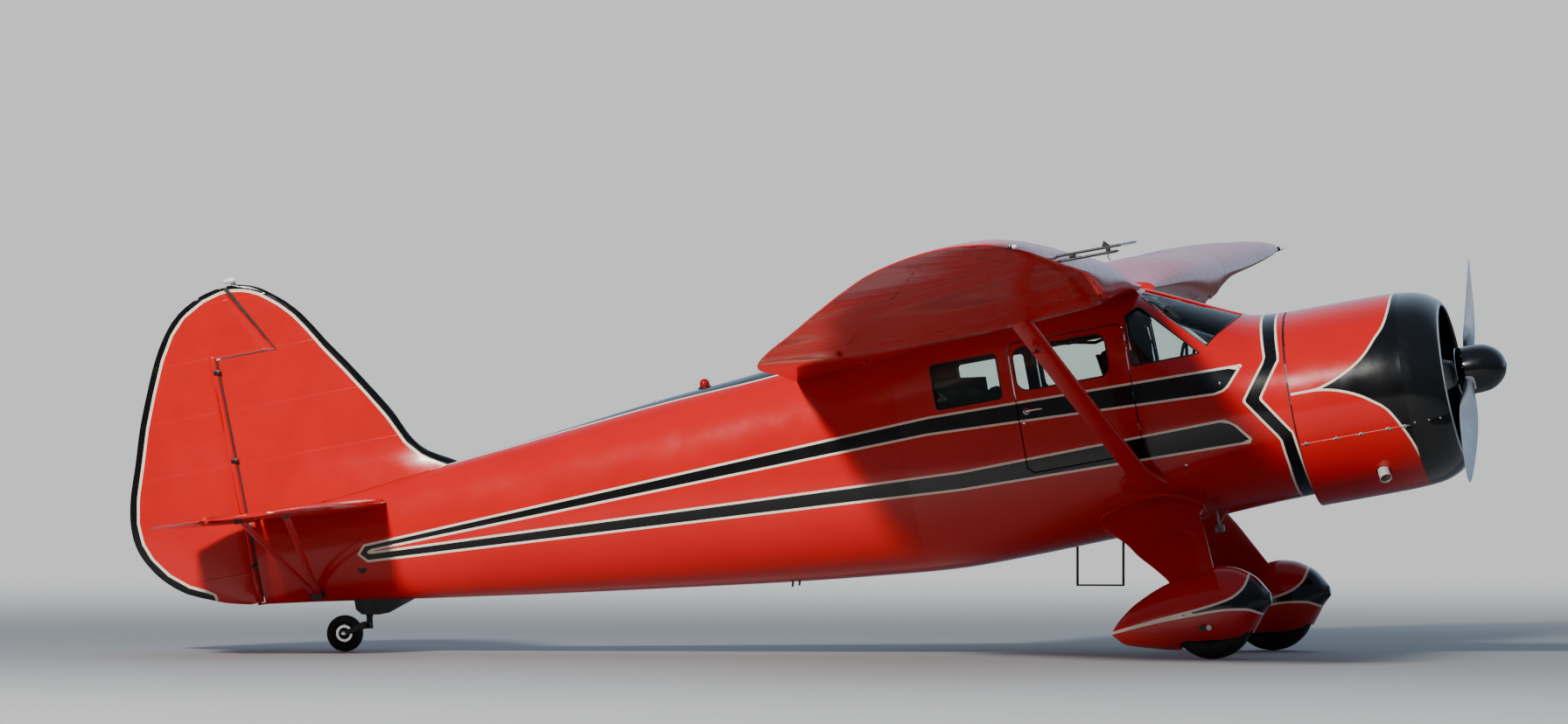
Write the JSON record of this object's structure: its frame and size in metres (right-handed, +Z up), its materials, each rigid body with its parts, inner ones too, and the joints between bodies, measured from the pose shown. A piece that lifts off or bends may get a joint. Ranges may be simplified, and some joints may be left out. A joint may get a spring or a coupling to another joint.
{
  "type": "high-wing cabin monoplane",
  "caption": "Strut-braced high-wing cabin monoplane with a radial engine in a round cowl, faired fixed main wheels, a tail wheel and hinged doors and control surfaces.",
  "frame": {"origin": "on the ground under the middle of the bounding box", "axes": "+X towards the nose, +Y to port (the left wing), +Z up; parked on its three wheels"},
  "size_m": [8.9829, 12.77, 2.6588],
  "materials": {
    "red_paint": "gloss",
    "black_paint": "gloss",
    "engine_metal": "satin",
    "exhaust_steel": "satin",
    "polished_metal": "polished",
    "blade_metal": "brushed",
    "dark_steel": "satin",
    "clear_glazing": "clear",
    "black_plastic": "matte",
    "seat_cloth": "woven",
    "pale_lining": "woven",
    "tyre_rubber": "matte",
    "wheel_rim": "satin"
  },
  "bodies": {
    "airframe": {"cabin_shell": "red_paint", "aft_fuselage": "red_paint", "firewall": "dark_steel", "cowl_upper": "red_paint", "cowl_lower": "red_paint", "cowl_nose_ring": "black_paint", "engine": "engine_metal", "exhaust_pipe": "exhaust_steel", "windshield": "clear_glazing", "cabin_floor": "dark_steel", "instrument_panel": "black_plastic", "rear_seat": "seat_cloth", "luggage_box": "pale_lining", "fin": "red_paint", "pitot_boom": "dark_steel", "boarding_step": "dark_steel", "tailwheel_mount": "dark_steel", "quarter_window_right": "clear_glazing", "rear_window_right": "clear_glazing", "wing_right": "red_paint", "wing_strut_right": "red_paint", "stabilizer_right": "red_paint", "gear_leg_right": "red_paint", "wheel_pant_right": "red_paint", "tail_brace_right": "red_paint", "front_seat_right": "seat_cloth", "main_axle_right": "dark_steel", "quarter_window_left": "clear_glazing", "rear_window_left": "clear_glazing", "wing_left": "red_paint", "wing_strut_left": "red_paint", "stabilizer_left": "red_paint", "gear_leg_left": "red_paint", "wheel_pant_left": "red_paint", "tail_brace_left": "red_paint", "front_seat_left": "seat_cloth", "main_axle_left": "dark_steel"},
    "rudder": {"rudder": "red_paint"},
    "elevators": {"elevator_right": "red_paint", "elevator_left": "red_paint", "elevator_torque_tube": "dark_steel"},
    "aileron_right": {"aileron_right": "red_paint"},
    "aileron_left": {"aileron_left": "red_paint"},
    "flap_right": {"flap_right": "red_paint"},
    "flap_left": {"flap_left": "red_paint"},
    "door_right": {"door_right": "red_paint", "door_window_right": "clear_glazing"},
    "door_left": {"door_left": "red_paint", "door_window_left": "clear_glazing"},
    "propeller": {"prop_hub": "polished_metal", "spinner": "black_paint", "prop_blade_a": "blade_metal", "prop_blade_b": "blade_metal"},
    "main_wheel_right": {"main_tyre_right": "tyre_rubber", "main_hub_right": "wheel_rim"},
    "main_wheel_left": {"main_tyre_left": "tyre_rubber", "main_hub_left": "wheel_rim"},
    "tailwheel_caster": {"tailwheel_fork": "dark_steel"},
    "tailwheel": {"tailwheel_tyre": "tyre_rubber", "tailwheel_hub": "wheel_rim"}
  },
  "joints": [
    {"name": "propeller_spin", "type": "hinge", "parent": "airframe", "child": "propeller", "pos_m": [4.24547, 0, 1.82777], "axis": [0.9839, 0, 0.1788], "continuous": true},
    {"name": "main_wheel_right_spin", "type": "hinge", "parent": "airframe", "child": "main_wheel_right", "pos_m": [2.78671, -1.4, 0.265], "axis": [0, 1, 0], "continuous": true},
    {"name": "main_wheel_left_spin", "type": "hinge", "parent": "airframe", "child": "main_wheel_left", "pos_m": [2.78671, 1.4, 0.265], "axis": [0, 1, 0], "continuous": true},
    {"name": "tailwheel_swivel", "type": "hinge", "parent": "airframe", "child": "tailwheel_caster", "pos_m": [-2.91729, 0, 0.24], "axis": [0, 0, 1], "continuous": true},
    {"name": "tailwheel_spin", "type": "hinge", "parent": "tailwheel_caster", "child": "tailwheel", "pos_m": [-3.07929, 0, 0.118], "axis": [0, 1, 0], "continuous": true},
    {"name": "rudder_hinge", "type": "hinge", "parent": "airframe", "child": "rudder", "pos_m": [-3.77743, 0, 1.01821], "axis": [-0.1984, 0, 0.9801], "range_deg": [-25, 25]},
    {"name": "elevator_hinge", "type": "hinge", "parent": "airframe", "child": "elevators", "pos_m": [-3.65678, 0, 0.86532], "axis": [0, 1, 0], "range_deg": [-20, 25]},
    {"name": "aileron_right_hinge", "type": "hinge", "parent": "airframe", "child": "aileron_right", "pos_m": [0.64845, -3.06, 2.07887], "axis": [0.3142, -0.9367, 0.1542], "range_deg": [-20, 20]},
    {"name": "aileron_left_hinge", "type": "hinge", "parent": "airframe", "child": "aileron_left", "pos_m": [0.64845, 3.06, 2.07887], "axis": [0.3142, 0.9367, 0.1542], "range_deg": [-20, 20]},
    {"name": "flap_right_hinge", "type": "hinge", "parent": "airframe", "child": "flap_right", "pos_m": [0.49333, -0.88, 1.8608], "axis": [0.062, -0.9973, 0.0381], "range_deg": [0, 45]},
    {"name": "flap_left_hinge", "type": "hinge", "parent": "airframe", "child": "flap_left", "pos_m": [0.49333, 0.88, 1.8608], "axis": [-0.062, -0.9973, -0.0381], "range_deg": [0, 45]},
    {"name": "door_right_hinge", "type": "hinge", "parent": "airframe", "child": "door_right", "pos_m": [2.16726, -0.642, 1.692], "axis": [-0.1788, 0, 0.9839], "range_deg": [0, 55]},
    {"name": "door_left_hinge", "type": "hinge", "parent": "airframe", "child": "door_left", "pos_m": [2.16726, 0.642, 1.692], "axis": [0.1788, 0, -0.9839], "range_deg": [0, 55]}
  ],
  "couplings": [
    {"joint": "aileron_left_hinge", "follows": "aileron_right_hinge", "ratio": 1},
    {"joint": "flap_left_hinge", "follows": "flap_right_hinge", "ratio": 1}
  ]
}
